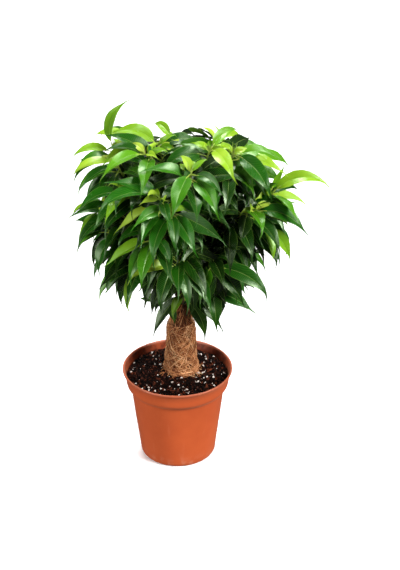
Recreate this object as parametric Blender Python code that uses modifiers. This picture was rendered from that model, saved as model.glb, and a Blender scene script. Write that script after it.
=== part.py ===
"""A potted weeping fig: a small-leaved fig whose stems rise through a coir sleeve, in a plastic pot.

The origin is on the pot's axis at the level it stands on, +Z is up and -Y is the front. Metres.
The plant is an assembly: the pot, the compost held together by roots, the coir sleeve, the stems
inside it, and one object for each shoot, which is a twig with its petioles, leaves and bud.
"""

import math
import random

import bmesh
import bpy
from mathutils import Matrix, Quaternion, Vector
from mathutils.bvhtree import BVHTree

MM = 0.001
UP = Vector((0, 0, 1))

# The pot, a 12 cm grower's pot with a deep rim band.
POT_HEIGHT = 105 * MM
RIM_RADIUS = 60 * MM
BAND_HEIGHT = 20 * MM
BAND_BOTTOM_RADIUS = 56 * MM
BASE_RADIUS = 41.6 * MM
WALL_TOP_RADIUS = 51.6 * MM
WALL = 1.4 * MM
FOOT_RECESS = 1.2 * MM
CENTRE_PAD_RADIUS = 8 * MM
TURNING_STEPS = 48
DRAIN_HOLES = 6
DRAIN_HOLE_RADIUS = 4 * MM
DRAIN_CIRCLE_RADIUS = 25 * MM

# The compost and the sleeve that stands in it.
COMPOST_EDGE_HEIGHT = 96.0 * MM
COMPOST_MIDDLE_HEIGHT = 98.5 * MM
TRUNK = Vector((4 * MM, 8 * MM, 0))
SLEEVE_FOOT = 74 * MM
SLEEVE_SHOULDER = 157 * MM
SLEEVE_TOP = 180 * MM
SOCKET_RADIUS = 20.2 * MM
FIT_GAP = 0.5 * MM

# The stems, six around one, and the crown that they carry.
RING_STEMS = 6
STEM_RADIUS = 1.9 * MM
STEM_TIP_RADIUS = 1.4 * MM
STEM_RING_RADIUS = 4.3 * MM
STEM_POINTS = 12
CROWN_CENTRE = Vector((12, 2, 278)) * MM
CROWN_LEAN = 10 * MM
TWIG_REACH = 76 * MM
CROWN_RISE = 1.14
TWIG_RADIUS = 1.1 * MM
TWIG_TIP_RADIUS = 0.8 * MM
TWIG_NODE = 1.6 * MM
JOINT_GAP = 0.3 * MM
LOWER_RIGHT_TRIM = 0.16
FREE_SHOOTS = 23
LEAVES_A_TWIG = 6

# A leaf: its stalk, and its blade as shares of the blade's length and width.
PETIOLE = 8 * MM
PETIOLE_WIDTH = 1.3 * MM
LEAF_THICKNESS = 0.9 * MM
BLADE_RINGS = ((0.38, 1.0), (0.72, 0.62))
BLADE_FOLD = 0.30
MIDRIB_STEPS = 24
CLEARANCE = 0.5 * MM
TWIG_TRIES = 40
LEAF_TRIES = 18

# Shoots that give the crown its outline. Each has its name, where its twig ends in millimetres,
# and the leaves that leave it: place along the twig, heading (0 is +X, -90 the front), lift and
# droop in degrees, length with stalk and width in millimetres, and roll in degrees.
OUTLINE_SHOOTS = (
    ("upright_left", (-62, -18, 371), ((1.0, 0, 108, 80, 55, 13, 50), (0.94, 180, 26, 74, 46, 12, 0))),
    ("top_far_left", (-58, -32, 360), ((0.98, 180, 24, 96, 52, 14, 16), (0.84, 186, 12, 88, 54, 15, 20))),
    ("right_reach", (98, -22, 322), ((0.99, 2, 48, 90, 64, 15, 14), (1.0, 10, 54, 6, 36, 7, 70), (0.8, 20, 40, 82, 44, 13, 0))),
    ("right_top", (58, -34, 371), ((0.97, -42, 4, 78, 60, 18, 24), (0.9, 8, 24, 70, 50, 14, 0))),
    ("top_right", (52, -4, 359), ((1.0, 180, 88, 52, 38, 10, 40), (0.93, 196, 26, 76, 52, 15, 8))),
    ("right_middle", (80, -48, 314), ((0.98, -4, 24, 80, 60, 17, 16), (0.86, 10, 14, 30, 48, 13, 10))),
    ("right_lower", (88, -50, 300), ((0.98, -12, -26, 56, 44, 14, 44), (0.82, -6, 36, 94, 58, 16, 14))),
    ("upper_left", (-50, -48, 337), ((0.97, 196, 18, 74, 54, 15, 14), (0.8, 215, 5, 70, 54, 15, 20))),
    ("left_hook", (-75, -20, 304), ((0.98, 180, 34, 128, 42, 8, 20), (0.86, 160, 50, 30, 24, 7, 0))),
    ("left_middle", (-68, -28, 282), ((0.98, 184, 4, 84, 50, 15, 38), (0.9, 172, 24, 100, 38, 12, 20))),
    ("left_lower", (-60, -30, 262), ((0.98, 182, 10, 80, 54, 15, 12), (0.86, 196, -8, 60, 50, 15, 24))),
    ("left_under", (-44, -40, 246), ((0.98, 184, 10, 76, 54, 14, 20), (0.84, 205, -20, 40, 48, 15, 24))),
    ("shoulder_front", (-30, -50, 372), ((0.97, 215, 24, 80, 54, 16, 10), (0.85, 262, 20, 80, 54, 16, 0))),
    ("top_left", (-17, -16, 372), ((0.97, 186, 58, 84, 50, 16, -24), (0.9, 0, 34, 90, 44, 16, -10))),
    ("top_middle", (12, -10, 364), ((1.0, 20, 60, 70, 26, 10, 30), (0.95, 170, 62, 80, 28, 10, -20))),
    ("shoulder_left", (-44, -16, 370), ((0.97, 200, 40, 96, 54, 15, 20), (0.86, 150, 50, 90, 50, 14, 0))),
    ("crest_middle", (34, -40, 378), ((0.97, -60, 24, 90, 52, 16, 10), (0.85, 200, 30, 90, 50, 15, 0))),
    ("crest_right", (74, -8, 350), ((0.97, 20, 30, 95, 54, 15, 0), (0.85, -40, 25, 90, 54, 15, 10))),
    ("low_middle", (9, -36, 210), ((0.98, -14, -52, 30, 50, 14, 40), (0.86, 200, -38, 34, 56, 14, 34), (0.7, -20, -36, 24, 60, 15, 34))),
    ("low_left", (-12, -24, 206), ((0.98, 184, -34, -26, 42, 14, 20), (0.86, 200, -54, 14, 46, 13, 24))),
    ("low_right", (32, -34, 216), ((0.98, -4, -8, 42, 52, 17, 16), (0.82, 10, 8, 40, 52, 16, 14))),
    ("right_under", (38, -58, 257), ((0.97, -14, 2, 62, 66, 18, 26), (0.86, -40, -14, 50, 54, 17, 24))),
    ("front_upper_left", (-14, -80, 343), ((0.98, 192, 36, 104, 70, 18, 24), (0.86, 188, -26, 14, 52, 15, 52))),
    ("front_left", (-21, -80, 299), ((0.97, 192, -8, 42, 52, 18, 38), (0.84, 250, -10, 60, 52, 17, 10))),
    ("front_middle", (-4, -93, 335), ((0.97, -22, -4, 36, 58, 16, 44), (0.84, -60, 0, 60, 52, 16, 0))),
    ("front_low", (4, -82, 268), ((0.97, 190, 30, 72, 56, 13, 6), (0.86, -40, -20, 50, 54, 16, 20))),
    ("front_top", (16, -74, 368), ((0.97, -112, 6, 78, 54, 18, 12), (0.84, -60, 10, 70, 54, 16, 10))),
)

COLOURS = {  # slot: base colour, roughness
    "terracotta_plastic": ((0.58, 0.17, 0.06), 0.45),
    "compost": ((0.035, 0.018, 0.010), 0.95),
    "coir": ((0.30, 0.15, 0.07), 0.9),
    "bark": ((0.20, 0.13, 0.07), 0.7),
    "leaf": ((0.09, 0.28, 0.03), 0.35),
}


def clear_scene():
    for old in list(bpy.data.objects):
        bpy.data.objects.remove(old, do_unlink=True)


def collection_named(name, hidden=False):
    made = bpy.data.collections.new(name)
    made.hide_render = hidden
    bpy.context.scene.collection.children.link(made)
    return made


def material(slot):
    found = bpy.data.materials.get(slot)
    if found:
        return found
    colour, roughness = COLOURS[slot]
    made = bpy.data.materials.new(slot)
    made.use_nodes = True
    shader = made.node_tree.nodes["Principled BSDF"]
    shader.inputs["Base Color"].default_value = (*colour, 1)
    shader.inputs["Roughness"].default_value = roughness
    shader.inputs["Metallic"].default_value = 0
    return made


def add_object(name, data, slot, collection):
    made = bpy.data.objects.new(name, data)
    if slot:
        data.materials.append(material(slot))
    collection.objects.link(made)
    return made


# ---------------------------------------------------------------- turned pieces


def turned(name, profile, slot, collection, centre=Vector((0, 0, 0)), closed=False):
    """A piece turned round a vertical axis. The profile is (radius, height) pairs, down the outside first."""
    mesh = bpy.data.meshes.new(name)
    points = [(radius, 0, height) for radius, height in profile]
    edges = [(i, i + 1) for i in range(len(points) - 1)]
    if closed:
        edges.append((len(points) - 1, 0))
    mesh.from_pydata(points, edges, [])
    piece = add_object(name, mesh, slot, collection)
    piece.location = centre
    screw = piece.modifiers.new("turn", "SCREW")
    screw.angle = math.tau
    screw.steps = TURNING_STEPS
    screw.render_steps = TURNING_STEPS
    screw.use_merge_vertices = True
    screw.merge_threshold = 0.00001
    return piece


def cylinder_cutter(name, centre, radius, bottom, top, collection):
    mesh = bpy.data.meshes.new(name)
    shape = bmesh.new()
    bmesh.ops.create_cone(
        shape, cap_ends=True, segments=24, radius1=radius, radius2=radius, depth=top - bottom
    )
    shape.to_mesh(mesh)
    shape.free()
    cutter = add_object(name, mesh, None, collection)
    cutter.location = (centre.x, centre.y, (bottom + top) / 2)
    cutter.hide_render = True
    cutter.display_type = "WIRE"
    return cutter


def cut(piece, cutter):
    boolean = piece.modifiers.new("cut " + cutter.name, "BOOLEAN")
    boolean.operation = "DIFFERENCE"
    boolean.object = cutter


def make_pot(collection, cutters):
    band_top = POT_HEIGHT - 3.2 * MM
    band_bottom = POT_HEIGHT - BAND_HEIGHT
    outside = [
        (RIM_RADIUS - 0.8 * MM, POT_HEIGHT),
        (RIM_RADIUS, POT_HEIGHT - 0.8 * MM),
        (RIM_RADIUS, POT_HEIGHT - 2.4 * MM),
        (RIM_RADIUS - 2.0 * MM, band_top - 0.6 * MM),
        (BAND_BOTTOM_RADIUS, band_bottom + 1.0 * MM),
        (BAND_BOTTOM_RADIUS - 0.9 * MM, band_bottom),
        (WALL_TOP_RADIUS, band_bottom - 0.6 * MM),
        (BASE_RADIUS, 3.0 * MM),
        (BASE_RADIUS - 0.8 * MM, 0.9 * MM),
        (BASE_RADIUS - 2.2 * MM, 0),
        (BASE_RADIUS - 6.6 * MM, 0),
        (BASE_RADIUS - 7.4 * MM, FOOT_RECESS),
        (CENTRE_PAD_RADIUS + 0.8 * MM, FOOT_RECESS),
        (CENTRE_PAD_RADIUS, 0),
        (0, 0),
    ]
    inside = [
        (0, FOOT_RECESS + 1.6 * MM),
        (BASE_RADIUS - 3.4 * MM, FOOT_RECESS + 1.6 * MM),
        (BASE_RADIUS - WALL, 4.2 * MM),
        (WALL_TOP_RADIUS - WALL, band_bottom - 1.2 * MM),
        (BAND_BOTTOM_RADIUS - WALL - 0.4 * MM, band_bottom + 0.9 * MM),
        (RIM_RADIUS - 2.0 * MM - WALL, band_top),
        (RIM_RADIUS - 2.8 * MM, POT_HEIGHT),
    ]
    pot = turned("pot", outside + inside, "terracotta_plastic", collection, closed=True)
    for i in range(DRAIN_HOLES):
        angle = math.tau * i / DRAIN_HOLES
        centre = Vector((math.cos(angle), math.sin(angle), 0)) * DRAIN_CIRCLE_RADIUS
        hole = cylinder_cutter(
            f"drain_hole_{i + 1}", centre, DRAIN_HOLE_RADIUS, -5 * MM, 10 * MM, cutters
        )
        cut(pot, hole)
    return pot


def make_compost(collection, cutters):
    band_bottom = POT_HEIGHT - BAND_HEIGHT
    profile = [
        (0, COMPOST_MIDDLE_HEIGHT),
        (30 * MM, COMPOST_MIDDLE_HEIGHT - 0.6 * MM),
        (46 * MM, COMPOST_EDGE_HEIGHT + 0.6 * MM),
        (54.0 * MM, COMPOST_EDGE_HEIGHT),
        (53.1 * MM, band_bottom + 1.5 * MM),
        (WALL_TOP_RADIUS - WALL - FIT_GAP, band_bottom - 0.4 * MM),
        (BASE_RADIUS - WALL - FIT_GAP, 4.6 * MM),
        (BASE_RADIUS - 4.2 * MM, FOOT_RECESS + 2.1 * MM),
        (0, FOOT_RECESS + 2.1 * MM),
    ]
    compost = turned("compost_and_roots", profile, "compost", collection)
    socket = cylinder_cutter(
        "sleeve_socket", TRUNK, SOCKET_RADIUS, SLEEVE_FOOT - FIT_GAP, 130 * MM, cutters
    )
    cut(compost, socket)
    return compost


def make_sleeve(collection):
    profile = [
        (9.2 * MM, SLEEVE_TOP),
        (10.6 * MM, SLEEVE_TOP - 8 * MM),
        (12.4 * MM, SLEEVE_SHOULDER + 1.6 * MM),
        (15.4 * MM, SLEEVE_SHOULDER),
        (15.9 * MM, 140 * MM),
        (16.8 * MM, 120 * MM),
        (19.4 * MM, 102 * MM),
        (19.5 * MM, 96 * MM),
        (18.6 * MM, SLEEVE_FOOT),
        (8.4 * MM, SLEEVE_FOOT),
        (8.4 * MM, 150 * MM),
        (6.9 * MM, SLEEVE_TOP),
    ]
    return turned("coir_sleeve", profile, "coir", collection, centre=TRUNK, closed=True)


# ---------------------------------------------------------------- lines that the plant grows along


def bezier(start, control, end, t):
    return start * (1 - t) ** 2 + control * 2 * t * (1 - t) + end * t * t


def stem_paths():
    """The centreline of each stem, from the sleeve's foot up and out into the crown."""
    paths = []
    for k in range(RING_STEMS + 1):
        if k == RING_STEMS:
            out, spread, top = Vector((0, 0, 0)), 0, 348 * MM
        else:
            angle = math.tau * (k + 0.25) / RING_STEMS
            out = Vector((math.cos(angle), math.sin(angle), 0))
            spread, top = (40 + 7 * (k % 2)) * MM, (306 + 11 * (k % 3)) * MM
        foot = TRUNK + out * STEM_RING_RADIUS
        low = foot + UP * (SLEEVE_FOOT + FIT_GAP / 2)
        neck = foot + UP * (SLEEVE_TOP + 2 * MM)
        crown = CROWN_CENTRE + out * spread
        crown.z = top
        control = neck + UP * 45 * MM + out * 8 * MM + Vector((CROWN_LEAN / 2, 0, 0))
        curve = [bezier(neck, control, crown, i / STEM_POINTS) for i in range(1, STEM_POINTS + 1)]
        paths.append([low, neck, *curve])
    return paths


def make_stem(name, path, collection):
    curve = bpy.data.curves.new(name, "CURVE")
    curve.dimensions = "3D"
    curve.bevel_depth = STEM_RADIUS
    curve.bevel_resolution = 1
    curve.use_fill_caps = True
    line = curve.splines.new("POLY")
    line.points.add(len(path) - 1)
    for i, point in enumerate(path):
        line.points[i].co = (*point, 1)
        share = max(0, i - 1) / (len(path) - 2)
        line.points[i].radius = 1 + (STEM_TIP_RADIUS / STEM_RADIUS - 1) * share
    return add_object(name, curve, "bark", collection)


class Leaf:
    """The line, width and facing of one leaf, from where its stalk leaves the twig."""

    def __init__(self, base, heading, lift, droop, length, width, roll):
        self.width = width
        self.length = length
        along = Vector((math.cos(math.radians(heading)), math.sin(math.radians(heading)), 0))
        side = UP.cross(along)
        angle, bend = math.radians(lift), math.radians(droop)
        step = length / MIDRIB_STEPS
        self.points, self.frames = [base.copy()], []
        for i in range(MIDRIB_STEPS + 1):
            share = i / MIDRIB_STEPS
            now = angle - bend * share**1.15
            tangent = along * math.cos(now) + UP * math.sin(now)
            turn = Quaternion(tangent, math.radians(roll) * min(1, share * 3))
            across = turn @ side
            self.frames.append((tangent, across, tangent.cross(across)))
            self.points.append(self.points[-1] + tangent * step)

    def ring(self, share, width, thickness):
        """Four corners round the midrib: left edge, top, right edge and underside."""
        spot = share * MIDRIB_STEPS
        i = min(MIDRIB_STEPS - 1, int(spot))
        centre = self.points[i].lerp(self.points[i + 1], spot - i)
        tangent, across, up = self.frames[i]
        rise = up * width / 2 * BLADE_FOLD if width > 2 * PETIOLE_WIDTH else Vector()
        return [
            centre - across * width / 2 + rise,
            centre + up * thickness / 2,
            centre + across * width / 2 + rise,
            centre - up * thickness / 2,
        ]

    def rings(self, spare=0):
        """The rings from the blade's foot outwards, and the tip. spare thickens them all round."""
        stalk = PETIOLE / self.length
        made = [self.ring(stalk, PETIOLE_WIDTH + spare * 2, PETIOLE_WIDTH + spare * 2)]
        for share, full in BLADE_RINGS:
            place = stalk + (1 - stalk) * share
            made.append(
                self.ring(place, self.width * full + spare * 2, LEAF_THICKNESS + spare * 2)
            )
        return made, self.points[MIDRIB_STEPS]


def tree_of(rings, tip):
    """A search tree of the closed skin through these rings, for finding clashes."""
    points = [corner for ring in rings for corner in ring] + [tip]
    faces = [(3, 2, 1, 0)]
    for k in range(len(rings) - 1):
        a, b = 4 * k, 4 * k + 4
        faces += [(a + i, a + (i + 1) % 4, b + (i + 1) % 4, b + i) for i in range(4)]
    last = 4 * (len(rings) - 1)
    faces += [(last + i, last + (i + 1) % 4, len(points) - 1) for i in range(4)]
    return BVHTree.FromPolygons(points, faces)


class Twig:
    """A four-sided twig that starts square to a stem and arches to its end."""

    def __init__(self, start, away, end):
        self.start, self.away, self.end = start, away, end
        self.elbow = start + away * 2.5 * MM
        reach = (end - self.elbow).length
        self.control = self.elbow.lerp(end, 0.45) + UP * 0.16 * reach + away * 0.1 * reach
        self.length = reach + 2.5 * MM

    def at(self, share):
        return bezier(self.elbow, self.control, self.end, share)

    def tangent(self, share):
        a, b = max(0, share - 0.02), min(1, share + 0.02)
        return (self.at(b) - self.at(a)).normalized()

    def ring(self, centre, tangent, thickness):
        across = tangent.cross(UP)
        across = across.normalized() if across.length > 0.05 else Vector((1, 0, 0))
        up = across.cross(tangent)
        corners = [across + up, -across + up, -across - up, across - up]
        return [centre + c * thickness / math.sqrt(2) for c in corners]

    def thickness(self, share):
        return TWIG_RADIUS + (TWIG_TIP_RADIUS - TWIG_RADIUS) * share

    def rings(self, shares, spare=0):
        """Rings from the foot outwards. shares are the leaf nodes, each with a ring on both sides."""
        made = [self.ring(self.start, self.away, TWIG_RADIUS + spare)]
        made.append(self.ring(self.elbow, (self.away + self.tangent(0)).normalized(), TWIG_RADIUS + spare))
        half = TWIG_NODE / 2 / self.length
        for share in shares:
            for place in (share - half, share + half):
                size = self.thickness(share) + spare
                made.append(self.ring(self.at(place), self.tangent(share), size))
        return made


# ---------------------------------------------------------------- deciding where shoots and leaves go


def shortest_gap(share, taken):
    return min((abs(share - other) for other in taken), default=1)


def twig_foot(paths, used, end):
    """The free place on a stem that suits a twig ending there: (stem, point on its axis, its direction)."""
    wanted = CROWN_CENTRE.lerp(end, 0.28) - UP * 10 * MM
    best = None
    for s, path in enumerate(paths):
        for i in range(2, len(path) - 1):
            for t in (0.15, 0.4, 0.65, 0.9):
                point = path[i].lerp(path[i + 1], t)
                if any((point - other).length < 3.6 * MM for other in used):
                    continue
                cost = (point - wanted).length
                if best is None or cost < best[0]:
                    best = (cost, s, point, (path[i + 1] - path[i]).normalized())
    return best[1:]


def crown_reach(way):
    """How far twigs reach this way: the crown has full shoulders above and tapers below."""
    flat = math.hypot(way.x, way.y)
    if way.z > 0:
        return TWIG_REACH / (flat**3 + (way.z / CROWN_RISE) ** 3) ** (1 / 3)
    full = TWIG_REACH * (1 - LOWER_RIGHT_TRIM * max(0, way.x))
    return full / (flat**1.2 + abs(way.z) ** 1.2) ** (1 / 1.2)


def free_directions(taken):
    """Directions spread evenly over the crown, leaving out those where an outline shoot already ends."""
    golden = math.pi * (3 - math.sqrt(5))
    found = []
    count = 52
    for i in range(count):
        z = 1 - 2 * (i + 0.5) / count
        if z < -0.80:
            continue
        radius = math.sqrt(1 - z * z)
        way = Vector((radius * math.cos(golden * i), radius * math.sin(golden * i), z))
        if all(way.angle(other) > math.radians(17) for other in taken):
            found.append(way)
    found.sort(key=lambda way: -min(way.angle(other) for other in taken))
    return found[:FREE_SHOOTS]


def hides_sleeve(tip):
    """True where a leaf that no one chose would hang before the sleeve or far out beside it."""
    return tip.z < SLEEVE_TOP + 22 * MM and not 22 * MM < abs(tip.x - TRUNK.x) < 45 * MM


class Growth:
    """Grows leaves and twigs one by one, and keeps each clear of all that is already there."""

    def __init__(self, paths):
        self.paths = paths
        self.trees = []
        self.feet = []
        self.draw = None
        for path in paths:
            lines = []
            for i in range(1, len(path) - 1):
                a, b = path[i], path[i + 1]
                frame = (b - a).normalized()
                lines += [square(a, frame, STEM_RADIUS * 1.1), square(b, frame, STEM_RADIUS * 1.1)]
            self.trees.append(tree_of(lines, lines[-1][0].lerp(lines[-1][2], 0.5)))

    def clashes(self, tree, others):
        return any(tree.overlap(other) for other in others)

    def grow_twig(self, end):
        """A twig to this end, nudged until it passes clear of the others."""
        tried = list(self.feet)
        for attempt in range(TWIG_TRIES):
            nudge = Vector([self.draw.uniform(-1, 1) for _ in range(3)]) * attempt * 0.35 * MM
            target = end + nudge
            stem, point, direction = twig_foot(self.paths, tried, target)
            away = target - point
            away = (away - direction * away.dot(direction)).normalized()
            foot = point + away * (STEM_RADIUS + JOINT_GAP)
            twig = Twig(foot, away, target)
            shares = [i / 8 for i in range(1, 9)]
            rings = twig.rings(shares, spare=CLEARANCE)[1:]
            tree = tree_of(rings, twig.end)
            others = [t for i, t in enumerate(self.trees) if i != stem]
            if not self.clashes(tree, others):
                self.feet.append(point)
                return twig, tree
            tried.append(point)
        return None, None

    def grow_leaf(self, twig, own, share, leaf_form, chosen=False):
        """The leaf if it is clear, or turned a little until it is, or None."""
        heading, lift, droop, length, width, roll = leaf_form
        tangent = twig.tangent(share)
        for attempt in range(LEAF_TRIES):
            spread = attempt * 4.5
            turn = self.draw.uniform(-1, 1) * spread
            raised = self.draw.uniform(-1, 1) * spread * 0.7
            shorter = 1 - 0.012 * attempt
            way = math.radians(heading + turn)
            out = Vector((math.cos(way), math.sin(way), 0)) * math.cos(math.radians(lift + raised))
            out += UP * math.sin(math.radians(lift + raised))
            base = twig.at(share)
            square_out = out - tangent * out.dot(tangent)
            if square_out.length > 0.2:
                base = base + square_out.normalized() * twig.thickness(share) * 0.7
            leaf = Leaf(
                base, heading + turn, lift + raised, droop, length * MM * shorter, width * MM, roll
            )
            rings, tip = leaf.rings(spare=CLEARANCE)
            blade = tree_of(rings, tip)
            if tip.z < POT_HEIGHT + 30 * MM or not chosen and hides_sleeve(tip):
                continue
            if self.clashes(blade, own) or self.clashes(blade, self.trees):
                continue
            stalk = tree_of([square(base + out * 1.5 * MM, out, PETIOLE_WIDTH / 2 + CLEARANCE), rings[0]], leaf.points[8])
            if self.clashes(stalk, own[1:]) or self.clashes(stalk, self.trees):
                continue
            own.append(blade)
            own.append(stalk)
            return leaf
        return None

    def grow_shoot(self, name, end, chosen):
        self.draw = random.Random(name)
        twig, skin = self.grow_twig(end)
        if twig is None:
            return None
        own, grown, taken = [skin], [], []
        for share, *form in chosen:
            share = min(share, 0.97)
            while shortest_gap(share, taken) < 0.05:
                share -= 0.05
            leaf = self.grow_leaf(twig, own, share, form, chosen=True)
            if leaf:
                grown.append((share, leaf))
                taken.append(share)
            else:
                print("no room for", name, form)
        turn = self.draw.uniform(0, 360)
        for i in range(LEAVES_A_TWIG):
            share = 0.96 - 0.125 * i
            while shortest_gap(share, taken) < 0.045:
                share -= 0.045
            if share < 0.15:
                break
            leaf = self.grow_leaf(twig, own, share, self.usual_leaf(twig, share, turn + i * 144))
            if leaf:
                grown.append((share, leaf))
                taken.append(share)
        self.trees += own
        return twig, sorted(grown, key=lambda pair: pair[0])

    def usual_leaf(self, twig, share, around):
        """A leaf's form from its place: it leaves the twig to one side, leans outwards and droops."""
        tangent = twig.tangent(share)
        across = tangent.cross(UP)
        across = across.normalized() if across.length > 0.05 else Vector((1, 0, 0))
        sideways = Quaternion(tangent, math.radians(around)) @ across
        outward = (twig.at(share) - CROWN_CENTRE).normalized()
        way = tangent * 0.45 + sideways * 0.8 + outward * 0.6
        heading = math.degrees(math.atan2(way.y, way.x))
        lift = math.degrees(math.asin(max(-1, min(1, way.normalized().z))))
        lift = max(-45, min(48, lift * 0.7 + 4))
        young = share > 0.9
        length = self.draw.uniform(40, 48) if young else self.draw.uniform(50, 60)
        width = length * (0.25 if young else 0.285)
        return heading, lift, self.draw.uniform(55, 95), length, width, self.draw.uniform(-30, 30)


def square(centre, tangent, radius):
    """Four corners round a line, for the skins that clashes are looked for on."""
    across = tangent.cross(UP)
    across = across.normalized() if across.length > 0.05 else Vector((1, 0, 0))
    up = across.cross(tangent)
    return [centre + c * radius for c in (across, up, -across, -up)]


# ---------------------------------------------------------------- making a shoot by extruding it


def extrude_to(shape, face, corners, outward):
    """Extrudes a four-sided face and moves its corners to these, turned so that it twists least."""
    if (corners[2] - corners[0]).cross(corners[3] - corners[1]).dot(outward) < 0:
        corners = corners[::-1]
    made = bmesh.ops.extrude_discrete_faces(shape, faces=[face])["faces"][0]
    moving = [loop.vert for loop in made.loops]

    def agreement(shift):
        total = 0
        for i in (0, 1):
            old = moving[i].co - moving[i + 2].co
            new = corners[(i + shift) % 4] - corners[(i + shift + 2) % 4]
            total += old.normalized().dot(new.normalized())
        return total

    shift = max(range(4), key=agreement)
    for i, v in enumerate(moving):
        v.co = corners[(i + shift) % 4]
    return made


def end_in_point(shape, face, point):
    made = bmesh.ops.poke(shape, faces=[face])
    made["verts"][0].co = point


def make_shoot(name, twig, leaves, collection):
    """One closed body: the twig is extruded ring by ring, then each leaf out of the twig's side."""
    rings = twig.rings([share for share, leaf in leaves])
    shape = bmesh.new()
    bmesh.ops.create_cube(shape, size=1)
    shape.faces.ensure_lookup_table()
    top = max(shape.faces, key=lambda f: f.calc_center_median().z)
    foot = min(shape.faces, key=lambda f: f.calc_center_median().z)
    turned_to = Matrix((rings[0][0] - rings[0][3], rings[0][0] - rings[0][1], twig.away)).transposed()
    middles = [sum(ring, Vector()) / 4 for ring in rings[:2]]
    for face, middle in ((foot, middles[0]), (top, middles[1])):
        for v in face.verts:
            v.co = middle + turned_to @ Vector((v.co.x, v.co.y, 0))
    face = top
    sides = []
    for i, ring in enumerate(rings[2:]):
        tangent = twig.tangent(leaves[i // 2][0])
        face = extrude_to(shape, face, ring, tangent)
        if i % 2:
            around = [e.link_faces for e in face.edges]
            sides.append([f for pair in around for f in pair if f is not face])
    end_in_point(shape, face, twig.end + twig.tangent(1) * 4 * MM)
    for (share, leaf), around in zip(leaves, sides):
        first = leaf.points[3] - twig.at(share)
        side = max(around, key=lambda f: facing(f).dot(first.normalized()))
        blade, tip = leaf.rings()
        for i, ring in enumerate(blade):
            side = extrude_to(shape, side, ring, leaf.frames[min(MIDRIB_STEPS, 4 + 7 * i)][0])
        end_in_point(shape, side, tip)
    mesh = bpy.data.meshes.new(name)
    bmesh.ops.triangulate(shape, faces=list(shape.faces))
    shape.to_mesh(mesh)
    shape.free()
    return add_object(name, mesh, "leaf", collection)


def facing(face):
    face.normal_update()
    return face.normal.copy()


def make_plant(collection):
    paths = stem_paths()
    for k, path in enumerate(paths):
        make_stem("stem_middle" if k == RING_STEMS else f"stem_{k + 1}", path, collection)
    growth = Growth(paths)
    wanted = [(name, Vector(end) * MM, leaves) for name, end, leaves in OUTLINE_SHOOTS]
    taken = [(end - CROWN_CENTRE).normalized() for name, end, leaves in wanted]
    for i, way in enumerate(free_directions(taken)):
        wanted.append((f"{i + 1:02d}", CROWN_CENTRE + way * crown_reach(way), ()))
    leaves_made = 0
    for name, end, chosen in wanted:
        grown = growth.grow_shoot(name, end, chosen)
        if grown is None:
            print("no room for shoot", name)
            continue
        twig, leaves = grown
        leaves_made += len(leaves)
        make_shoot("shoot_" + name, twig, leaves, collection)
    print("leaves:", leaves_made)


def main():
    clear_scene()
    cutters = collection_named("cutters", hidden=True)
    fig = collection_named("potted_weeping_fig")
    make_pot(fig, cutters)
    make_compost(fig, cutters)
    make_sleeve(fig)
    make_plant(fig)


main()
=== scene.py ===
# %% [markdown]
# # A weeping fig in a plastic pot
#
# A young weeping fig is sold as a small standard: several stems rise together through a sleeve
# of matted coconut fibre and spread into a round crown of pointed, glossy, drooping leaves.
# This lesson builds its looks over a plain solid model, and replaces each solid by a finer
# piece. The stems and the shoots are read from the model, point by point, so that every leaf
# lies where its solid does. The pot, the compost and the sleeve are turned shapes, drawn again
# here to the model's sizes with more detail.

# %% Load the solid model
import math
import random

import bmesh
import bpy
import numpy as np
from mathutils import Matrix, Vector, kdtree, noise


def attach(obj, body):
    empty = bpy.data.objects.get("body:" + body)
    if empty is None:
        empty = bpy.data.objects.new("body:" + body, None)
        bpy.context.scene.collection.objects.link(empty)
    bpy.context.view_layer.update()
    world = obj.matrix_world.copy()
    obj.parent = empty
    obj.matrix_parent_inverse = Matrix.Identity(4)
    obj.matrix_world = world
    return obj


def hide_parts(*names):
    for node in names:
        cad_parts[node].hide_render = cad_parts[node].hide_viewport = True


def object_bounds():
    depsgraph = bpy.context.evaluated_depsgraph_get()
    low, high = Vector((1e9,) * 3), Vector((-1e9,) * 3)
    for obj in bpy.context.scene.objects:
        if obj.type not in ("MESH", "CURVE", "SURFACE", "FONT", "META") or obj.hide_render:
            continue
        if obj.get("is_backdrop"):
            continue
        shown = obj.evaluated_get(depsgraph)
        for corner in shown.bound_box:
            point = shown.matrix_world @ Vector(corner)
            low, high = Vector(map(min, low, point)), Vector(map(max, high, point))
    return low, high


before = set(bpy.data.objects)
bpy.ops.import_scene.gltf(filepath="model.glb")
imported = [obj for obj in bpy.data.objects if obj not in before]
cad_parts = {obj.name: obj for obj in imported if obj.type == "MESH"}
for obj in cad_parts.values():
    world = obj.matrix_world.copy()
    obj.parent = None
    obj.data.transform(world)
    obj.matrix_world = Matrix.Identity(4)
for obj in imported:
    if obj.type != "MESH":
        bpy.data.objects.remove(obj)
solid_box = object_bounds()
MM = 0.001
UP = Vector((0, 0, 1))
shoot_names = [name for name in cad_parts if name.startswith("shoot_")]
stem_names = [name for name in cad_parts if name.startswith("stem_")]
print("solid nodes:", len(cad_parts), "shoots:", len(shoot_names), "stems:", len(stem_names))

# %% [markdown]
# ## The camera and the studio
#
# The plant is seen from a little above, as it would be on a table. A long lens keeps the pot's
# sides nearly straight. Three far, wide lights do the work: the strongest from the right, a
# softer one from the left that fills the shadows, and one from above and behind that edges the
# crown. A wide light lays a broad pale sheen on a glossy leaf, which shows its shape. The white
# surround is kept weak, so that the hollows between the leaves stay dark.

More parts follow.
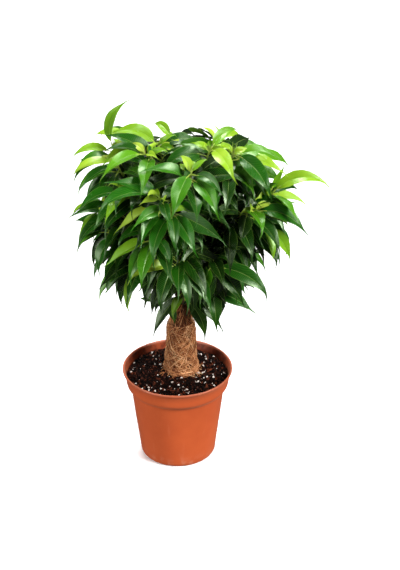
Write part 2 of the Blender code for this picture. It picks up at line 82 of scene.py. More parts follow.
# %% Camera
LENS, LOOKS_DOWN = 86.5, 28.4  # millimetres, and degrees below level
camera_data = bpy.data.cameras.new("camera")
camera_data.lens = LENS
camera = bpy.data.objects.new("camera", camera_data)
camera.location = (0.0246, -1.2748, 0.8954)
camera.rotation_euler = (math.radians(90 - LOOKS_DOWN), 0, 0)
bpy.context.scene.collection.objects.link(camera)
bpy.context.scene.camera = camera
print("camera looks down by", LOOKS_DOWN, "degrees from", tuple(camera.location))

# %% Lights and the white surround
SURROUND_STRENGTH = 0.09


def broad_light(name, from_side, strength, spread):
    """A far, wide light: it falls evenly on floor and plant. spread is its width in degrees."""
    lamp = bpy.data.lights.new(name, "SUN")
    lamp.energy, lamp.angle = strength, math.radians(spread)
    holder = bpy.data.objects.new(name, lamp)
    holder.rotation_euler = Vector(from_side).to_track_quat("Z", "Y").to_euler()
    bpy.context.scene.collection.objects.link(holder)


broad_light("light_right", (1.0, -0.6, 0.85), 4.4, 22)
broad_light("light_left", (-1.0, -0.7, 0.35), 2.3, 32)
broad_light("light_above_back", (-0.1, 0.6, 1.2), 2.8, 22)
surround = bpy.data.worlds.new("white_surround")
surround.use_nodes = True
backdrop = surround.node_tree.nodes["Background"].inputs
backdrop["Color"].default_value = (1, 1, 1, 1)
backdrop["Strength"].default_value = SURROUND_STRENGTH
bpy.context.scene.world = surround
bpy.context.scene.view_settings.view_transform = "Standard"

# %% [markdown]
# ## Writing finishes as sums
#
# A finish is a small picture made of arithmetic: a noise, times a number, mixed between two
# colours. Drawing that as boxes and wires is slow to read, so one class stands for a socket
# and lets Python's own signs add the Math nodes, and one method adds every other node.


# %% The socket class and the finish class
class Value:
    """A socket whose sums are written in Python."""

    def __init__(self, finish, socket):
        self.finish, self.socket = finish, socket

    def math(self, operation, *others):
        inputs = dict(enumerate((self, *others)))
        return self.finish.node("ShaderNodeMath", {"operation": operation}, inputs)

    def __add__(self, other):
        return self.math("ADD", other)

    def __mul__(self, other):
        return self.math("MULTIPLY", other)

    def __sub__(self, other):
        return self.math("SUBTRACT", other)

    def __rsub__(self, other):
        return self * -1 + other

    def __pow__(self, other):
        return self.math("POWER", other)

    def __abs__(self):
        return self.math("ABSOLUTE")

    __radd__ = __add__
    __rmul__ = __mul__

    def above(self, low, high):
        """0 below low, 1 above high, and smooth between."""
        inputs = {"Value": self, "From Min": low, "From Max": high}
        return self.finish.node("ShaderNodeMapRange", {"interpolation_type": "SMOOTHSTEP"}, inputs)


class Finish:
    """A material built round one Principled shader."""

    def __init__(self, name, **constants):
        self.material = bpy.data.materials.new(name)
        self.material.use_nodes = True
        self.tree = self.material.node_tree
        self.shader = self.tree.nodes["Principled BSDF"]
        for socket, value in constants.items():
            self.shader.inputs[socket.replace("_", " ")].default_value = value

    def node(self, kind, settings=None, inputs=None, output=0):
        made = self.tree.nodes.new(kind)
        for key, value in (settings or {}).items():
            if key == "stops":
                ramp = made.color_ramp
                while len(ramp.elements) < len(value):
                    ramp.elements.new(0.5)
                for stop, (place, shade) in zip(ramp.elements, value):
                    stop.position, stop.color = place, shade
            else:
                setattr(made, key, value)
        for key, value in (inputs or {}).items():
            if isinstance(value, Value):
                self.tree.links.new(value.socket, made.inputs[key])
            else:
                made.inputs[key].default_value = value
        return Value(self, made.outputs[output])

    def place(self, scale=(1, 1, 1)):
        spot = self.node("ShaderNodeTexCoord", output="Object")
        return self.node("ShaderNodeMapping", {}, {"Vector": spot, "Scale": scale})

    def noise(self, spot, scale, detail=3.0, roughness=0.55):
        inputs = {"Vector": spot, "Scale": scale, "Detail": detail, "Roughness": roughness}
        return self.node("ShaderNodeTexNoise", {}, inputs)

    def own(self, name):
        """A number that the piece carries on its own points."""
        return self.node("ShaderNodeAttribute", {"attribute_name": name}, output="Fac")

    def blend(self, share, first, second):
        settings = {"data_type": "RGBA"}
        return self.node("ShaderNodeMix", settings, {0: share, 6: first, 7: second}, output=2)

    def ramp(self, share, *stops):
        """Runs through colours. A stop is its place and then its red, green and blue."""
        stops = [(place, paint(*shade)) for place, *shade in stops]
        return self.node("ShaderNodeValToRGB", {"stops": stops}, {"Fac": share})

    def feed(self, socket, value):
        self.tree.links.new(value.socket, self.shader.inputs[socket])

    def bump(self, height, strength, distance):
        inputs = {"Height": height, "Strength": strength, "Distance": distance}
        self.feed("Normal", self.node("ShaderNodeBump", {}, inputs))


def paint(red, green, blue):
    """A colour given as it looks on a screen, 0 to 255, turned into the light it stands for."""
    shares = (channel / 255 for channel in (red, green, blue))
    light = (s / 12.92 if s <= 0.04045 else ((s + 0.055) / 1.055) ** 2.4 for s in shares)
    return (*light, 1)


print("finish tools are ready")

# %% [markdown]
# ## Modelling helpers
#
# Everything round starts as a circle that is pulled up and scaled ring by ring, which is how a
# pot is drawn by hand in edit mode. What repeats, such as a leaf or a fibre, is modelled once
# on a straight line, and each copy is then bent along a line of its own.


# %% Helpers for working by hand
def let_go():
    """Nothing stays selected, so that an operator acts only on the piece in hand."""
    if bpy.context.object and bpy.context.object.mode != "OBJECT":
        bpy.ops.object.mode_set(mode="OBJECT")
    bpy.ops.object.select_all(action="DESELECT")


def take(piece):
    let_go()
    piece.select_set(True)
    bpy.context.view_layer.objects.active = piece
    return piece


def named(name):
    piece = bpy.context.object
    piece.name = piece.data.name = name
    return piece


def pick(test):
    """In edit mode, selects the points whose place passes the test."""
    shape = bmesh.from_edit_mesh(bpy.context.object.data)
    bpy.ops.mesh.select_all(action="DESELECT")
    for point in shape.verts:
        point.select = bool(test(point.co))
    shape.select_flush_mode()
    bmesh.update_edit_mesh(bpy.context.object.data)


def apply_all(piece):
    """Applies every modifier of a piece."""
    take(piece)
    for modifier in list(piece.modifiers):
        bpy.ops.object.modifier_apply(modifier=modifier.name)


def drawn_up(name, profile, sides, centre=(0, 0), section=None):
    """A closed piece: a circle is extruded from (radius, height) to (radius, height).

    section is a step that first works the circle into another outline.
    """
    let_go()
    x, y = centre
    radius, height = profile[0]
    bpy.ops.mesh.primitive_circle_add(vertices=sides, radius=radius, location=(x, y, height))
    piece = named(name)
    bpy.ops.object.transform_apply(location=True)
    bpy.ops.object.mode_set(mode="EDIT")
    if section:
        section()
    bpy.ops.mesh.select_all(action="SELECT")
    bpy.ops.mesh.edge_face_add()
    for new_radius, new_height in profile[1:]:
        step = (0, 0, new_height - height)
        bpy.ops.mesh.extrude_region_move(TRANSFORM_OT_translate={"value": step})
        size = new_radius / radius
        bpy.ops.transform.resize(value=(size, size, 1), center_override=(x, y, new_height))
        radius, height = new_radius, new_height
    bpy.ops.mesh.select_all(action="SELECT")
    bpy.ops.mesh.normals_make_consistent(inside=False)
    bpy.ops.object.mode_set(mode="OBJECT")
    print(name, "has", len(piece.data.polygons), "faces")
    return piece


def joined(name, pieces):
    take(pieces[0])
    for piece in pieces:
        piece.select_set(True)
    bpy.ops.object.join()
    return named(name)


def carry(mesh, name, value):
    """Gives a mesh a number at every point, to be read by its finish."""
    numbers = mesh.attributes.new(name, "FLOAT", "POINT")
    values = np.broadcast_to(np.asarray(value, dtype=np.float32), len(mesh.vertices))
    numbers.data.foreach_set("value", np.ascontiguousarray(values))


def points_of(mesh):
    flat = np.empty(len(mesh.vertices) * 3, dtype=np.float32)
    mesh.vertices.foreach_get("co", flat)
    return flat.reshape(-1, 3)


def copy_of(model, points, **numbers):
    """A copy of a model with its points moved to these, carrying these numbers."""
    mesh = model.data.copy()
    mesh.vertices.foreach_set("co", np.asarray(points, dtype=np.float32).ravel())
    for name, value in numbers.items():
        carry(mesh, name, value)
    piece = bpy.data.objects.new(model.name + "_copy", mesh)
    bpy.context.scene.collection.objects.link(piece)
    return piece


def finish_piece(piece, finishes, slot_name, *nodes):
    """Gives a finished piece its finishes, attaches it to its body and hides the solids it stands
    for. slot_name is not used.
    """
    for finish in finishes[len(piece.data.materials) :]:
        piece.data.materials.append(finish.material)
    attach(piece, "root")
    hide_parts(*nodes)
    print(piece.name, "stands for", ", ".join(nodes) if len(nodes) < 4 else f"{len(nodes)} solids")


print("helpers are ready")

# %% [markdown]
# ## The floor
#
# The floor is a broad pale sheet, almost white, with a round pale wall far behind it, so that
# the plant stands before white from every side. They belong to the studio and not to the plant.
# Neither throws light back at the plant or shows in its gloss, and the wall casts no shadow, so
# the lights alone decide how the plant looks.

# %% Floor and wall
WHITE = (1, 1, 1, 1)


def studio_sheet(name, glow, grain_size, darker, lighter):
    """Makes the new primitive a pale sheet of the studio, with two greys and a glow."""
    sheet = named("studio_" + name)
    pale = Finish("pale_" + name, Roughness=0.9, Emission_Color=WHITE, Emission_Strength=glow)
    grain = pale.noise(pale.place(), grain_size)
    pale.feed("Base Color", pale.blend(grain, paint(*[darker] * 3), paint(*[lighter] * 3)))
    sheet.data.materials.append(pale.material)
    sheet.visible_diffuse = sheet.visible_glossy = False
    sheet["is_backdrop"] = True
    return sheet


let_go()
bpy.ops.mesh.primitive_plane_add(size=16, location=(0, 0, -0.4 * MM))
floor = studio_sheet("floor", 0.2, 40, 250, 254)
let_go()
bpy.ops.mesh.primitive_cylinder_add(
    vertices=64, radius=7.9, depth=12, end_fill_type="NOTHING", location=(0, 0, 5.9)
)
wall = studio_sheet("wall", 0.9, 4, 246, 252)
wall.visible_shadow = False
print("floor is", floor.dimensions.x, "m wide, wall is", round(wall.dimensions.z), "m high")

# %% [markdown]
# ## The pot
#
# A grower's pot is thin moulded plastic. It has a deep band round its mouth, with a rounded lip
# that stiffens it, a soft step under the band that the next pot in a stack rests on, a wall
# that tapers to the base, and holes in the base for water. It is drawn up from the middle of its
# underside, round the lip and down the inside, and the holes are cut last.

# %% Pot shape
POT_PROFILE = [  # radius, height: the underside, the wall, the band and lip, then down the inside
    (7.0, 0.0), (8.0, 0.0), (8.5, 0.9), (34.0, 1.2), (34.6, 0.6), (35.3, 0.0), (38.6, 0.0),
    (39.9, 0.3), (40.7, 1.1), (41.4, 2.6), (42.0, 7.0), (46.6, 45.0), (50.8, 79.2),
    (51.3, 81.4), (52.1, 83.0), (53.3, 84.3), (54.6, 85.4), (55.5, 86.8), (56.0, 88.8),
    (56.6, 92.5), (57.9, 100.4), (58.6, 101.4), (59.3, 102.2), (59.8, 103.0), (60.0, 103.7),
    (59.9, 104.4), (59.5, 104.9), (58.9, 105.0), (58.3, 104.8), (57.8, 104.1), (57.3, 102.6),
    (54.6, 88.0), (54.2, 86.2), (50.0, 83.8), (49.6, 82.0), (45.2, 45.0), (40.3, 5.0),
    (38.6, 2.9), (12.0, 2.8),
]
HOLES, HOLE_CIRCLE, HOLE_RADIUS = 6, 25 * MM, 4 * MM

pot = drawn_up("flower_pot", [(r * MM, h * MM) for r, h in POT_PROFILE], 160)
for i in range(HOLES):
    turn = math.tau * i / HOLES
    let_go()
    bpy.ops.mesh.primitive_cylinder_add(
        vertices=32, radius=HOLE_RADIUS, depth=12 * MM,
        location=(HOLE_CIRCLE * math.cos(turn), HOLE_CIRCLE * math.sin(turn), 0),
    )
    drill = named("drill")
    cut = pot.modifiers.new("hole", "BOOLEAN")
    cut.operation, cut.object = "DIFFERENCE", drill
    apply_all(pot)
    bpy.data.objects.remove(drill, do_unlink=True)
take(pot)
bpy.ops.object.shade_smooth_by_angle(angle=math.radians(34))
print("pot in mm:", [round(size / MM) for size in pot.dimensions])

# %% [markdown]
# The plastic is coloured all through, a warm terracotta orange with a satin skin. Light
# blooms softly on it. Up close it has the fine pebbling of the mould, a few faint scuffs, a
# paler, duller lip that is partly worn and partly painted shade against the light on its top,
# and the dusty bloom that water leaves near the foot. The inside of the mouth is darkened,
# partly by compost dirt and partly by painted shade, and is found by its distance from the
# pot's axis.

# %% Pot finish
INNER_FLARE, INNER_WALL = 0.185, (0.0387, 0.0390)  # the mouth's slope, and its skin at Z 0
clay = Finish(
    "terracotta_plastic", Roughness=0.42, Specular_IOR_Level=0.35,
    Sheen_Weight=0.25, Sheen_Roughness=0.4, Sheen_Tint=(1.0, 0.55, 0.36, 1),
)
spot = clay.place()
out_x, out_y, height = (
    clay.node("ShaderNodeSeparateXYZ", {}, {"Vector": spot}, output=axis) for axis in "XYZ"
)
mottle = clay.noise(spot, 22, 4)
streak = clay.noise(clay.place((90, 90, 14)), 1.0, 3)
base = clay.blend(mottle.above(0.3, 0.7), paint(206, 90, 45), paint(216, 98, 50))
base = clay.blend(streak.above(0.58, 0.82) * 0.3, base, paint(226, 126, 88))
dusty = (1 - height.above(0.002, 0.016)) * clay.noise(spot, 130, 4).above(0.45, 0.7)
base = clay.blend(dusty * 0.30, base, paint(232, 170, 140))
across = (out_x * out_x + out_y * out_y) ** 0.5
# painted shade: the inside of the mouth is darkened to a dark red-brown, partly compost dirt and
# partly painted shade
inner = (1 - (across - height * INNER_FLARE).above(*INNER_WALL)) * height.above(0.086, 0.0885)
dirt_and_shade = clay.noise(spot, 150, 5).above(0.38, 0.66) * 0.3 + 0.55
base = clay.blend(inner * dirt_and_shade, base, paint(62, 22, 13))
# the lip is painted a duller, paler orange: partly wear, and partly painted shade that tones down
# the light its top catches
worn_and_shaded_lip = height.above(0.1022, 0.1042) * (clay.noise(spot, 90, 3) * 0.5 + 0.45)
base = clay.blend(worn_and_shaded_lip, base, paint(176, 100, 72))
clay.feed("Base Color", base)
clay.feed("Roughness", clay.noise(spot, 60, 4) * 0.16 + 0.36 + dusty * 0.2)
clay.bump(clay.noise(spot, 1500, 2), 0.12, 0.0002)
finish_piece(pot, [clay], "terracotta_plastic", "pot")

# %% [markdown]
# ## The compost
#
# Potting compost is dark, damp and crumbly: peat and bark that has broken down, with redder
# chips of bark, and white grains of perlite that keep it open. The body is drawn up like the
# pot, its top is cut into rings and pushed about to make a lumpy ground, and the loose bits
# are then dropped on it one by one.

# %% Compost ground
GROUND_EDGE, GROUND_MIDDLE, GROUND_RADIUS = 96.2 * MM, 98.2 * MM, 55 * MM
TRUNK_X, TRUNK_Y = 4 * MM, 8 * MM
FLAT_TOP = 96.4  # the height at which the top is drawn, before it is made lumpy
COMPOST_SIDE = [  # radius, height
    (20, 3.4), (38.2, 3.5), (39.6, 5.2), (44.6, 45.0), (49.0, 82.0), (49.6, 84.4),
    (53.4, 86.6), (54.0, 90.0), (55.0, 95.0),
]
TOP_RINGS = (54.2, 53, 51.5, 50, 48.5, 47, 45.5, *range(44, 10, -2), 9, 6, 3)


def ground_height(x, y):
    """The lumpy top of the compost at this place."""
    out = min(1, math.hypot(x, y) / GROUND_RADIUS)
    coarse = noise.noise(Vector((x, y, 0)) * 70) * 1.1
    lumps = coarse + noise.noise(Vector((x, y, 0.3)) * 210) * 0.8
    return GROUND_MIDDLE + (GROUND_EDGE - GROUND_MIDDLE) * out**2 + lumps * MM


profile = COMPOST_SIDE + [(radius, FLAT_TOP) for radius in TOP_RINGS]
compost = drawn_up("potting_compost", [(r * MM, h * MM) for r, h in profile], 120)
shape = points_of(compost.data)
for row in shape:
    if row[2] > (FLAT_TOP - 0.5) * MM:
        row[2] = ground_height(float(row[0]), float(row[1]))
compost.data.vertices.foreach_set("co", shape.ravel())
take(compost)
bpy.ops.object.shade_smooth()
print("compost stands", round(compost.dimensions.z / MM), "mm deep")

# %% [markdown]
# The loose bits are of three kinds. A crumb is a squashed ball with few faces, a perlite grain
# is a rounder and knobblier one, and a bark chip is a flattened, splintery block. Each is
# modelled once and then copied with its own size, turn and tone.

# %% One crumb, one perlite grain and one bark chip
chance = random.Random(7)


def model_bit(name, finer, knobs):
    """A small ball of radius 1. finer gives it more faces, knobs makes it less round."""
    let_go()
    bpy.ops.mesh.primitive_ico_sphere_add(subdivisions=finer, radius=1)
    piece = named(name)
    rows = points_of(piece.data)
    for row in rows:
        row *= 1 + knobs * noise.noise(Vector(row) * 1.7 + Vector((finer, 0, 0)))
    piece.data.vertices.foreach_set("co", rows.ravel())
    return piece


crumb_model = model_bit("crumb_model", 1, 0.7)
grain_model = model_bit("grain_model", 2, 0.55)
let_go()
bpy.ops.mesh.primitive_cube_add(size=2)
chip_model = named("chip_model")
bpy.ops.object.mode_set(mode="EDIT")
bpy.ops.mesh.subdivide(number_cuts=1)
pick(lambda co: co.x > 0.5)
bpy.ops.transform.resize(value=(1, 0.45, 0.5), center_override=(1, 0.3, 0))
pick(lambda co: co.x < -0.5)
bpy.ops.transform.resize(value=(1, 0.7, 0.4), center_override=(-1, -0.4, 0.2))
bpy.ops.object.mode_set(mode="OBJECT")
print("faces each:", [len(m.data.polygons) for m in (crumb_model, grain_model, chip_model)])


# %% Dropping the bits on the ground
BITS_REACH, BITS_LIMIT, SLEEVE_KEEP_OUT = 54.0 * MM, 55.2 * MM, 18.5 * MM


def turned_rows(rows, sizes, place):
    """The model's points at this size, turned any way, and set at this place."""
    pole = Vector([chance.gauss(0, 1) for _ in range(3)]).normalized()
    way = Vector((math.cos(chance.uniform(0, 6.28)), math.sin(chance.uniform(0, 6.28)), 0.2))
    tilt = np.array(pole.to_track_quat("Z", "Y").to_matrix())
    matrix = tilt @ np.array(way.to_track_quat("X", "Z").to_matrix())
    return (rows * np.array(sizes)) @ matrix.T + np.array(place)


def scattered(name, model, count, smallest, largest, shape, sink):
    """Loose bits over the ground. Most are small. sink is how far they stand out of it."""
    rows, bits = points_of(model.data), []
    while len(bits) < count:
        out = BITS_REACH * math.sqrt(chance.uniform(0, 1))
        turn = chance.uniform(0, math.tau)
        x, y = out * math.cos(turn), out * math.sin(turn)
        if math.hypot(x - TRUNK_X, y - TRUNK_Y) < SLEEVE_KEEP_OUT:
            continue
        size = smallest + (largest - smallest) * chance.random() ** 2.2
        sizes = [size * s * chance.uniform(0.75, 1.3) for s in shape]
        if out + max(sizes) > BITS_LIMIT:
            continue
        place = (x, y, ground_height(x, y) + size * sink)
        bits.append(copy_of(model, turned_rows(rows, sizes, place), tone=chance.random()))
    piece = joined(name, bits)
    bpy.data.objects.remove(model, do_unlink=True)
    print(name, "has", count, "bits and", len(piece.data.polygons), "faces")
    return piece


crumbs = scattered(
    "compost_crumbs", crumb_model, 2600, 0.5 * MM, 1.7 * MM, (1.2, 0.9, 0.7), 0.25
)
chips = scattered("bark_chips", chip_model, 330, 0.5 * MM, 1.6 * MM, (1.9, 0.75, 0.35), 0.35)
perlite = scattered(
    "perlite_grains", grain_model, 190, 0.42 * MM, 1.35 * MM, (1.1, 0.9, 0.8), 0.6
)
take(perlite)
bpy.ops.object.shade_smooth()

# %% [markdown]
# Damp compost is nearly black, with a few wet glints. Its crumbs run from black to a warm
# red-brown, the chips are redder, and perlite is a chalky white that picks up a brown stain.

# %% Compost finishes
soil = Finish("damp_compost", Roughness=0.8, Specular_IOR_Level=0.05)
spot = soil.place()
dark = soil.noise(spot, 260, 5)
soil.feed("Base Color", soil.ramp(dark, (0.3, 6, 3, 2), (0.55, 20, 10, 6), (0.75, 50, 25, 15)))
soil.feed("Roughness", soil.noise(spot, 500, 3) * 0.5 + 0.45)
soil.bump(soil.noise(spot, 900, 5), 0.8, 0.0008)

crumbly = Finish("compost_crumb", Roughness=0.8, Specular_IOR_Level=0.06)
spot = crumbly.place()
tone = crumbly.own("tone") + crumbly.noise(spot, 700, 3) * 0.3 - 0.15
crumb_colour = crumbly.ramp(
    tone, (0.0, 4, 2, 1), (0.5, 15, 6, 4), (0.85, 42, 18, 10), (1.0, 90, 42, 24)
)
crumbly.feed("Base Color", crumb_colour)
crumbly.feed("Roughness", crumbly.noise(spot, 800, 3) * 0.5 + 0.35)
crumbly.bump(crumbly.noise(spot, 1600, 4), 0.6, 0.0004)

barky = Finish("bark_chip", Roughness=0.75, Specular_IOR_Level=0.15)
spot = barky.place((1, 1, 3))
tone = barky.own("tone") + barky.noise(spot, 420, 4) * 0.5 - 0.25
chip_colour = barky.ramp(tone, (0.0, 24, 9, 5), (0.5, 62, 26, 15), (1.0, 118, 60, 36))
barky.feed("Base Color", chip_colour)
barky.bump(barky.noise(spot, 1500, 4), 0.6, 0.0004)

chalky = Finish("perlite", Roughness=0.85)
spot = chalky.place()
white = chalky.blend(chalky.own("tone"), paint(214, 196, 180), paint(250, 244, 236))
stain = chalky.noise(spot, 600, 4).above(0.55, 0.75)
chalky.feed("Base Color", chalky.blend(stain * 0.5, white, paint(150, 112, 88)))
chalky.bump(chalky.noise(spot, 2400, 3), 0.5, 0.0003)

for piece, finish in ((compost, soil), (crumbs, crumbly), (chips, barky), (perlite, chalky)):
    finish_piece(piece, [finish], "compost", "compost_and_roots")

# %% [markdown]
# ## Bending a straight model along a line
#
# A fibre, a leaf stalk, a twig and a leaf blade are all the same problem: something modelled
# straight, from 0 to 1, has to follow a curve in space. A line here is a row of points with a
# sideways and an upward direction at each, and laying a model along it moves every point of
# the model by the place it has along, across and above its own axis.


# %% Lines and laying
def unit(rows):
    return rows / np.maximum(np.linalg.norm(rows, axis=-1, keepdims=True), 1e-12)


class Line:
    """Points in space, with the directions across and above the line at each."""

    def __init__(self, points, above):
        self.points = np.asarray(points, dtype=float)
        self.tangents = unit(np.gradient(self.points, axis=0))
        above = np.broadcast_to(np.asarray(above, dtype=float), self.points.shape)
        self.across = unit(np.cross(above, self.tangents))
        self.above = np.cross(self.tangents, self.across)
        steps = np.linalg.norm(np.diff(self.points, axis=0), axis=1)
        self.length = float(steps.sum())
        self.shares = np.concatenate(([0], np.cumsum(steps))) / self.length

    def read(self, rows, shares):
        return np.stack([np.interp(shares, self.shares, rows[:, i]) for i in range(3)], axis=1)

    def lay(self, along, across, above):
        """Where a model's points go: along is 0 to 1, across and above are in metres."""
        centre = self.read(self.points, along)
        sideways = unit(self.read(self.across, along))
        upward = unit(self.read(self.above, along))
        return centre + sideways * across[:, None] + upward * above[:, None]


def smooth_line(points, count, above):
    """A line through these points, rounded by a curve that passes through each of them."""
    keys = [Vector(p) for p in points]
    keys = [keys[0] * 2 - keys[1], *keys, keys[-1] * 2 - keys[-2]]
    rows = []
    for i in range(count + 1):
        place = i / count * (len(keys) - 3)
        k = min(int(place), len(keys) - 4)
        t = place - k
        a, b, c, d = keys[k : k + 4]
        early, late = 2 * a - 5 * b + 4 * c - d, 3 * b - a - 3 * c + d
        rows.append(0.5 * (2 * b + (c - a) * t + early * t**2 + late * t**3))
    return Line([tuple(row) for row in rows], above)


def rod_model(name, sides, cuts):
    """A straight closed rod of radius 1 that stands from 0 to 1 on Z."""
    return drawn_up(name, [(1, i / cuts) for i in range(cuts + 1)], sides)


def rod_along(model, line, radii, **numbers):
    """A copy of a rod, bent along a line. radii are its radius at even places along it."""
    rows = points_of(model.data)
    size = np.interp(rows[:, 2], np.linspace(0, 1, len(radii)), radii)
    return copy_of(model, line.lay(rows[:, 2], rows[:, 0] * size, rows[:, 1] * size), **numbers)


print("lines are ready")

# %% [markdown]
# ## The coir sleeve
#
# The stems stand in a sleeve of coir, the coarse fibre of a coconut husk, felted into a tube.
# It is widest at its foot, has a shoulder where the mat ends, and closes in to the stems above
# that. A felt body gives the mass, and painted shade in its colour gives the dark depths, and
# about fourteen hundred separate fibres lie over it: crossing each other on the tube, upright
# on the neck, and wrapped level round the foot, where some stray out over the compost.

# %% Felt body
SLEEVE = [  # radius, height
    (18.0, 75.0), (18.8, 92.0), (18.9, 99.0), (18.0, 104.0), (16.7, 110.0), (16.0, 118.0),
    (15.6, 128.0), (15.2, 138.0), (15.0, 147.0), (14.7, 153.5), (14.1, 156.2), (12.9, 158.0),
    (12.0, 160.0), (11.2, 165.0), (10.2, 171.0), (9.2, 176.5), (8.2, 180.0), (6.6, 181.0),
]
felt = drawn_up("coir_felt", [(r * MM, h * MM) for r, h in SLEEVE], 72, (TRUNK_X, TRUNK_Y))
take(felt)
bpy.ops.object.mode_set(mode="EDIT")
bpy.ops.mesh.select_all(action="SELECT")
bpy.ops.mesh.subdivide(number_cuts=1)
bpy.ops.object.mode_set(mode="OBJECT")
shape = points_of(felt.data)
for row in shape:
    out = np.array((row[0] - TRUNK_X, row[1] - TRUNK_Y, 0))
    lump = noise.noise(Vector(row) * 260) * 0.7 + noise.noise(Vector(row) * 700) * 0.45
    row += (unit(out) * lump * MM).astype(np.float32)
felt.data.vertices.foreach_set("co", shape.ravel())
take(felt)
bpy.ops.object.shade_smooth()
print("sleeve stands up to", round(float(shape[:, 2].max()) / MM), "mm")


# %% Coir fibres
SLEEVE_RADII, SLEEVE_HEIGHTS = (np.array(column) * MM for column in zip(*SLEEVE))
LEANING = (0.31, 0.22, 0.93)  # a direction that no fibre or stalk is likely to run along
FIBRE_STEPS = 8


def sleeve_radius(z):
    return float(np.interp(z, SLEEVE_HEIGHTS, SLEEVE_RADII))


def fibre_on_tube(low, high, steepest, flattest, longest, loose):
    """A fibre that wanders over the tube between two heights."""
    turn, z = chance.uniform(0, math.tau), chance.uniform(low, high)
    pitch = math.radians(chance.uniform(flattest, steepest)) * chance.choice((-1, 1))
    bend = math.radians(chance.uniform(-35, 35))
    length = longest * chance.uniform(0.35, 1)
    lift, proud = chance.random() ** 3 * loose, chance.uniform(0.05, 0.7) * MM
    rows, step = [], length / FIBRE_STEPS
    for i in range(FIBRE_STEPS + 1):
        t = i / FIBRE_STEPS
        radius = sleeve_radius(z) + proud + math.sin(math.pi * t) * lift
        rows.append((TRUNK_X + radius * math.cos(turn), TRUNK_Y + radius * math.sin(turn), z))
        angle = pitch + bend * (t - 0.5)
        turn += math.cos(angle) * step / radius
        z = min(max(z + math.sin(angle) * step, low - 2 * MM), high + 1.5 * MM)
    return Line(rows, LEANING)


def fibre_on_ground():
    """A stray fibre that leaves the foot and lies over the compost."""
    turn = chance.uniform(0, math.tau)
    x, y = TRUNK_X + 18.2 * MM * math.cos(turn), TRUNK_Y + 18.2 * MM * math.sin(turn)
    way, bend = turn + chance.uniform(-1.3, 1.3), chance.uniform(-0.22, 0.22)
    step = chance.uniform(0.6, 1.4) * MM
    rise, rows = chance.uniform(0.5, 2.2) * MM, []
    for i in range(FIBRE_STEPS + 1):
        arch = rise * math.sin(math.pi * min(1, i / FIBRE_STEPS + 0.15))
        rows.append((x, y, ground_height(x, y) + arch + 0.5 * MM))
        way += bend
        x, y = x + step * math.cos(way), y + step * math.sin(way)
    return Line(rows, LEANING)


fibre_model = rod_model("fibre_model", 4, FIBRE_STEPS)
fibre_lines = [fibre_on_tube(101 * MM, 156 * MM, 82, 14, 34 * MM, 1.3 * MM) for _ in range(1000)]
fibre_lines += [fibre_on_tube(157 * MM, 180 * MM, 88, 50, 22 * MM, 0.8 * MM) for _ in range(230)]
fibre_lines += [fibre_on_tube(97 * MM, 106 * MM, 24, 0, 40 * MM, 1.4 * MM) for _ in range(150)]
fibre_lines += [fibre_on_ground() for _ in range(60)]
fibres = []
for line in fibre_lines:
    thick = (0.14 + 0.28 * chance.random() ** 1.6) * MM
    radii = [thick * 0.6, thick, thick, thick * 0.5]
    fibres.append(rod_along(fibre_model, line, radii, tone=chance.random()))
coir = joined("coir_fibres", fibres)
bpy.data.objects.remove(fibre_model, do_unlink=True)
take(coir)
bpy.ops.object.shade_smooth()
print("fibres:", len(fibre_lines), "faces:", len(coir.data.polygons))

# %% [markdown]
# Coir is a warm fox-brown. Single fibres run from a pale straw that catches the light to a
# dark red-brown, and the felt between them is painted nearly black in patches, a painted shade
# for the deep gaps between the fibres. It has no gloss, only a faint dry sheen along each fibre.

# %% Coir finishes
felted = Finish("coir_felt", Roughness=0.95, Specular_IOR_Level=0.15)
spot = felted.place((1, 1, 0.6))
deep = felted.noise(spot, 420, 5)
# painted shade: the darkest stop is a near-black that stands for the shade in the deep gaps between
# the fibres; the paler stops are the felt's own brown
felt_colour = felted.ramp(deep, (0.32, 30, 13, 7), (0.55, 88, 47, 25), (0.75, 142, 88, 52))
felted.feed("Base Color", felt_colour)
felted.bump(felted.noise(spot, 800, 4), 1.0, 0.0008)

fibrous = Finish("coir_fibre", Roughness=0.72, Specular_IOR_Level=0.25)
spot = fibrous.place()
tone = fibrous.own("tone") + fibrous.noise(spot, 160, 3) * 0.35 - 0.18
fibre_colour = fibrous.ramp(
    tone, (0.0, 84, 42, 20), (0.35, 152, 90, 50), (0.75, 212, 146, 94), (1.0, 244, 198, 146)
)
fibrous.feed("Base Color", fibre_colour)
fibrous.bump(fibrous.noise(spot, 2400, 2), 0.4, 0.0001)
finish_piece(felt, [felted], "coir", "coir_sleeve")
finish_piece(coir, [fibrous], "coir", "coir_sleeve")

# %% [markdown]
# ## Stems
#
# Six thin stems stand round a seventh inside the sleeve, and lean apart above it. The solid
# model of a stem is a six-sided tube, so walking from its lowest ring of points to the next,
# and the next, gives the line down its middle. A rounder rod is laid along that line, a little
# swollen where old leaves were shed, with thin grey-brown bark.


# %% Walking over a solid
def welded(node):
    """A solid's points and edges, with the loose triangles joined up."""
    shape = bmesh.new()
    shape.from_mesh(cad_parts[node].data)
    bmesh.ops.remove_doubles(shape, verts=shape.verts, dist=2e-6)
    return shape


def neighbours(shape):
    return {point: {edge.other_vert(point) for edge in point.link_edges} for point in shape.verts}


def rings_from(first, near, barred=frozenset()):
    """The rings of points met one after another on the way from the first."""
    rings, seen = [set(first)], set(first) | set(barred)
    while True:
        ring = set().union(*(near[point] for point in rings[-1])) - seen
        if not ring:
            return rings
        rings.append(ring)
        seen |= ring


def middle(points):
    return sum((point.co for point in points), Vector()) / len(points)


print("ready to walk over", len(stem_names) + len(shoot_names), "solids")


